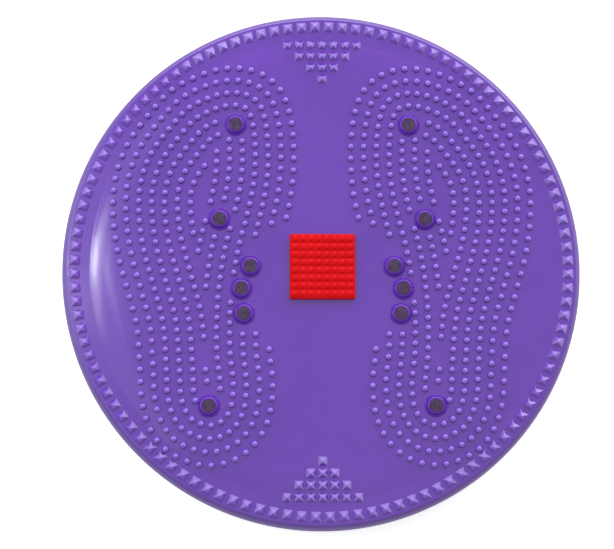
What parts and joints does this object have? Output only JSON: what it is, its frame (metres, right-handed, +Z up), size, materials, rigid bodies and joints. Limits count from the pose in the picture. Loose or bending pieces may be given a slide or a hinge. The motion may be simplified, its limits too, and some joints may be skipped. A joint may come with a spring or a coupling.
{
  "type": "waist twisting disc",
  "caption": "Round exercise disc with nubbed foot fields and set-in magnets, whose top turns freely on a ball race over a flat base with rubber feet.",
  "frame": {"origin": "on the floor, under the pivot's axis", "axes": "+Z up along the pivot; +Y towards the toes of the two foot fields; +X towards the right foot field"},
  "size_m": [0.3, 0.3, 0.0307],
  "materials": {
    "violet_plastic": "moulded, glossy",
    "red_plastic": "moulded, satin",
    "ferrite": "matte, pressed",
    "black_plastic": "moulded, matte",
    "cage_plastic": "moulded, plain",
    "ball_steel": "polished",
    "zinc_steel": "zinc plated",
    "black_rubber": "matte"
  },
  "bodies": {
    "base": {"base_plate": "black_plastic", "pivot_bolt": "zinc_steel", "pivot_sleeve": "zinc_steel", "bottom_washer": "zinc_steel", "top_washer": "zinc_steel", "lock_nut": "zinc_steel", "rubber_foot_1": "black_rubber", "rubber_foot_2": "black_rubber", "rubber_foot_3": "black_rubber", "rubber_foot_4": "black_rubber", "rubber_foot_5": "black_rubber", "rubber_foot_6": "black_rubber"},
    "turntable": {"top_plate": "violet_plastic", "pivot_cap": "red_plastic", "left_magnet_1": "ferrite", "left_magnet_2": "ferrite", "left_magnet_3": "ferrite", "left_magnet_4": "ferrite", "left_magnet_5": "ferrite", "left_magnet_6": "ferrite", "right_magnet_1": "ferrite", "right_magnet_2": "ferrite", "right_magnet_3": "ferrite", "right_magnet_4": "ferrite", "right_magnet_5": "ferrite", "right_magnet_6": "ferrite"},
    "cage": {"ball_cage": "cage_plastic"},
    "ball_1": {"bearing_ball_1": "ball_steel"},
    "ball_2": {"bearing_ball_2": "ball_steel"},
    "ball_3": {"bearing_ball_3": "ball_steel"},
    "ball_4": {"bearing_ball_4": "ball_steel"},
    "ball_5": {"bearing_ball_5": "ball_steel"},
    "ball_6": {"bearing_ball_6": "ball_steel"},
    "ball_7": {"bearing_ball_7": "ball_steel"},
    "ball_8": {"bearing_ball_8": "ball_steel"},
    "ball_9": {"bearing_ball_9": "ball_steel"},
    "ball_10": {"bearing_ball_10": "ball_steel"},
    "ball_11": {"bearing_ball_11": "ball_steel"},
    "ball_12": {"bearing_ball_12": "ball_steel"},
    "ball_13": {"bearing_ball_13": "ball_steel"},
    "ball_14": {"bearing_ball_14": "ball_steel"},
    "ball_15": {"bearing_ball_15": "ball_steel"},
    "ball_16": {"bearing_ball_16": "ball_steel"},
    "ball_17": {"bearing_ball_17": "ball_steel"},
    "ball_18": {"bearing_ball_18": "ball_steel"},
    "ball_19": {"bearing_ball_19": "ball_steel"},
    "ball_20": {"bearing_ball_20": "ball_steel"},
    "ball_21": {"bearing_ball_21": "ball_steel"},
    "ball_22": {"bearing_ball_22": "ball_steel"},
    "ball_23": {"bearing_ball_23": "ball_steel"},
    "ball_24": {"bearing_ball_24": "ball_steel"}
  },
  "joints": [
    {"name": "disc_turn", "type": "hinge", "parent": "base", "child": "turntable", "pos_m": [0, 0, 0.0155], "axis": [0, 0, 1], "continuous": true},
    {"name": "cage_turn", "type": "hinge", "parent": "base", "child": "cage", "pos_m": [0, 0, 0.015], "axis": [0, 0, 1], "continuous": true},
    {"name": "ball_roll_1", "type": "hinge", "parent": "cage", "child": "ball_1", "pos_m": [0.083, 0, 0.015], "axis": [1, 0, 0], "continuous": true},
    {"name": "ball_roll_2", "type": "hinge", "parent": "cage", "child": "ball_2", "pos_m": [0.08017, 0.02148, 0.015], "axis": [0.9659, 0.2588, 0], "continuous": true},
    {"name": "ball_roll_3", "type": "hinge", "parent": "cage", "child": "ball_3", "pos_m": [0.07188, 0.0415, 0.015], "axis": [0.866, 0.5, 0], "continuous": true},
    {"name": "ball_roll_4", "type": "hinge", "parent": "cage", "child": "ball_4", "pos_m": [0.05869, 0.05869, 0.015], "axis": [0.7071, 0.7071, 0], "continuous": true},
    {"name": "ball_roll_5", "type": "hinge", "parent": "cage", "child": "ball_5", "pos_m": [0.0415, 0.07188, 0.015], "axis": [0.5, 0.866, 0], "continuous": true},
    {"name": "ball_roll_6", "type": "hinge", "parent": "cage", "child": "ball_6", "pos_m": [0.02148, 0.08017, 0.015], "axis": [0.2588, 0.9659, 0], "continuous": true},
    {"name": "ball_roll_7", "type": "hinge", "parent": "cage", "child": "ball_7", "pos_m": [0, 0.083, 0.015], "axis": [0, 1, 0], "continuous": true},
    {"name": "ball_roll_8", "type": "hinge", "parent": "cage", "child": "ball_8", "pos_m": [-0.02148, 0.08017, 0.015], "axis": [-0.2588, 0.9659, 0], "continuous": true},
    {"name": "ball_roll_9", "type": "hinge", "parent": "cage", "child": "ball_9", "pos_m": [-0.0415, 0.07188, 0.015], "axis": [-0.5, 0.866, 0], "continuous": true},
    {"name": "ball_roll_10", "type": "hinge", "parent": "cage", "child": "ball_10", "pos_m": [-0.05869, 0.05869, 0.015], "axis": [-0.7071, 0.7071, 0], "continuous": true},
    {"name": "ball_roll_11", "type": "hinge", "parent": "cage", "child": "ball_11", "pos_m": [-0.07188, 0.0415, 0.015], "axis": [-0.866, 0.5, 0], "continuous": true},
    {"name": "ball_roll_12", "type": "hinge", "parent": "cage", "child": "ball_12", "pos_m": [-0.08017, 0.02148, 0.015], "axis": [-0.9659, 0.2588, 0], "continuous": true},
    {"name": "ball_roll_13", "type": "hinge", "parent": "cage", "child": "ball_13", "pos_m": [-0.083, 0, 0.015], "axis": [-1, 0, 0], "continuous": true},
    {"name": "ball_roll_14", "type": "hinge", "parent": "cage", "child": "ball_14", "pos_m": [-0.08017, -0.02148, 0.015], "axis": [-0.9659, -0.2588, 0], "continuous": true},
    {"name": "ball_roll_15", "type": "hinge", "parent": "cage", "child": "ball_15", "pos_m": [-0.07188, -0.0415, 0.015], "axis": [-0.866, -0.5, 0], "continuous": true},
    {"name": "ball_roll_16", "type": "hinge", "parent": "cage", "child": "ball_16", "pos_m": [-0.05869, -0.05869, 0.015], "axis": [-0.7071, -0.7071, 0], "continuous": true},
    {"name": "ball_roll_17", "type": "hinge", "parent": "cage", "child": "ball_17", "pos_m": [-0.0415, -0.07188, 0.015], "axis": [-0.5, -0.866, 0], "continuous": true},
    {"name": "ball_roll_18", "type": "hinge", "parent": "cage", "child": "ball_18", "pos_m": [-0.02148, -0.08017, 0.015], "axis": [-0.2588, -0.9659, 0], "continuous": true},
    {"name": "ball_roll_19", "type": "hinge", "parent": "cage", "child": "ball_19", "pos_m": [0, -0.083, 0.015], "axis": [0, -1, 0], "continuous": true},
    {"name": "ball_roll_20", "type": "hinge", "parent": "cage", "child": "ball_20", "pos_m": [0.02148, -0.08017, 0.015], "axis": [0.2588, -0.9659, 0], "continuous": true},
    {"name": "ball_roll_21", "type": "hinge", "parent": "cage", "child": "ball_21", "pos_m": [0.0415, -0.07188, 0.015], "axis": [0.5, -0.866, 0], "continuous": true},
    {"name": "ball_roll_22", "type": "hinge", "parent": "cage", "child": "ball_22", "pos_m": [0.05869, -0.05869, 0.015], "axis": [0.7071, -0.7071, 0], "continuous": true},
    {"name": "ball_roll_23", "type": "hinge", "parent": "cage", "child": "ball_23", "pos_m": [0.07188, -0.0415, 0.015], "axis": [0.866, -0.5, 0], "continuous": true},
    {"name": "ball_roll_24", "type": "hinge", "parent": "cage", "child": "ball_24", "pos_m": [0.08017, -0.02148, 0.015], "axis": [0.9659, -0.2588, 0], "continuous": true}
  ],
  "couplings": [
    {"joint": "cage_turn", "follows": "disc_turn", "ratio": 0.5},
    {"joint": "ball_roll_1", "follows": "disc_turn", "ratio": -10.375},
    {"joint": "ball_roll_2", "follows": "disc_turn", "ratio": -10.375},
    {"joint": "ball_roll_3", "follows": "disc_turn", "ratio": -10.375},
    {"joint": "ball_roll_4", "follows": "disc_turn", "ratio": -10.375},
    {"joint": "ball_roll_5", "follows": "disc_turn", "ratio": -10.375},
    {"joint": "ball_roll_6", "follows": "disc_turn", "ratio": -10.375},
    {"joint": "ball_roll_7", "follows": "disc_turn", "ratio": -10.375},
    {"joint": "ball_roll_8", "follows": "disc_turn", "ratio": -10.375},
    {"joint": "ball_roll_9", "follows": "disc_turn", "ratio": -10.375},
    {"joint": "ball_roll_10", "follows": "disc_turn", "ratio": -10.375},
    {"joint": "ball_roll_11", "follows": "disc_turn", "ratio": -10.375},
    {"joint": "ball_roll_12", "follows": "disc_turn", "ratio": -10.375},
    {"joint": "ball_roll_13", "follows": "disc_turn", "ratio": -10.375},
    {"joint": "ball_roll_14", "follows": "disc_turn", "ratio": -10.375},
    {"joint": "ball_roll_15", "follows": "disc_turn", "ratio": -10.375},
    {"joint": "ball_roll_16", "follows": "disc_turn", "ratio": -10.375},
    {"joint": "ball_roll_17", "follows": "disc_turn", "ratio": -10.375},
    {"joint": "ball_roll_18", "follows": "disc_turn", "ratio": -10.375},
    {"joint": "ball_roll_19", "follows": "disc_turn", "ratio": -10.375},
    {"joint": "ball_roll_20", "follows": "disc_turn", "ratio": -10.375},
    {"joint": "ball_roll_21", "follows": "disc_turn", "ratio": -10.375},
    {"joint": "ball_roll_22", "follows": "disc_turn", "ratio": -10.375},
    {"joint": "ball_roll_23", "follows": "disc_turn", "ratio": -10.375},
    {"joint": "ball_roll_24", "follows": "disc_turn", "ratio": -10.375}
  ]
}
